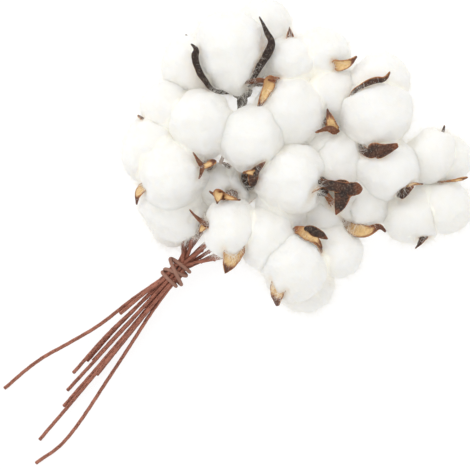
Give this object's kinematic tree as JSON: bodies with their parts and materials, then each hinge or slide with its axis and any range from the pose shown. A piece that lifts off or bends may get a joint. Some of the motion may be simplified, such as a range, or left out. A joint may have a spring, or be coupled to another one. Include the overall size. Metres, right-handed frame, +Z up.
{
  "type": "cotton stem bunch",
  "caption": "Bunch of open cotton bolls with woody burrs on paper-wrapped wire stems, bound with a coil of wire and lying down.",
  "frame": {"origin": "middle of the footprint, on the surface the bunch lies on", "axes": "+X along the bunch, from the cut wire ends to the bolls; +Z up"},
  "size_m": [0.274, 0.1682, 0.0573],
  "materials": {
    "cotton_fibre": "soft matte fibre",
    "dry_husk": "rough dark outside, smooth golden inside",
    "paper_tape": "matte crepe paper"
  },
  "bodies": {
    "root": {"burr_a": "dry_husk", "lock_a1": "cotton_fibre", "lock_a2": "cotton_fibre", "lock_a3": "cotton_fibre", "lock_a4": "cotton_fibre", "wire_a": "paper_tape", "burr_b": "dry_husk", "lock_b1": "cotton_fibre", "lock_b2": "cotton_fibre", "lock_b3": "cotton_fibre", "lock_b4": "cotton_fibre", "wire_b": "paper_tape", "burr_c": "dry_husk", "lock_c1": "cotton_fibre", "lock_c2": "cotton_fibre", "lock_c3": "cotton_fibre", "lock_c4": "cotton_fibre", "wire_c": "paper_tape", "burr_d": "dry_husk", "lock_d1": "cotton_fibre", "lock_d2": "cotton_fibre", "lock_d3": "cotton_fibre", "lock_d4": "cotton_fibre", "wire_d": "paper_tape", "burr_e": "dry_husk", "lock_e1": "cotton_fibre", "lock_e2": "cotton_fibre", "lock_e3": "cotton_fibre", "wire_e": "paper_tape", "burr_f": "dry_husk", "lock_f1": "cotton_fibre", "lock_f2": "cotton_fibre", "lock_f3": "cotton_fibre", "lock_f4": "cotton_fibre", "wire_f": "paper_tape", "burr_h": "dry_husk", "lock_h1": "cotton_fibre", "lock_h2": "cotton_fibre", "lock_h3": "cotton_fibre", "lock_h4": "cotton_fibre", "wire_h": "paper_tape", "burr_j": "dry_husk", "lock_j1": "cotton_fibre", "lock_j2": "cotton_fibre", "lock_j3": "cotton_fibre", "lock_j4": "cotton_fibre", "wire_j": "paper_tape", "burr_k": "dry_husk", "lock_k1": "cotton_fibre", "lock_k2": "cotton_fibre", "lock_k3": "cotton_fibre", "lock_k4": "cotton_fibre", "wire_k": "paper_tape", "burr_l": "dry_husk", "lock_l1": "cotton_fibre", "lock_l2": "cotton_fibre", "lock_l3": "cotton_fibre", "lock_l4": "cotton_fibre", "wire_l": "paper_tape", "binding_wire": "paper_tape"}
  },
  "joints": []
}
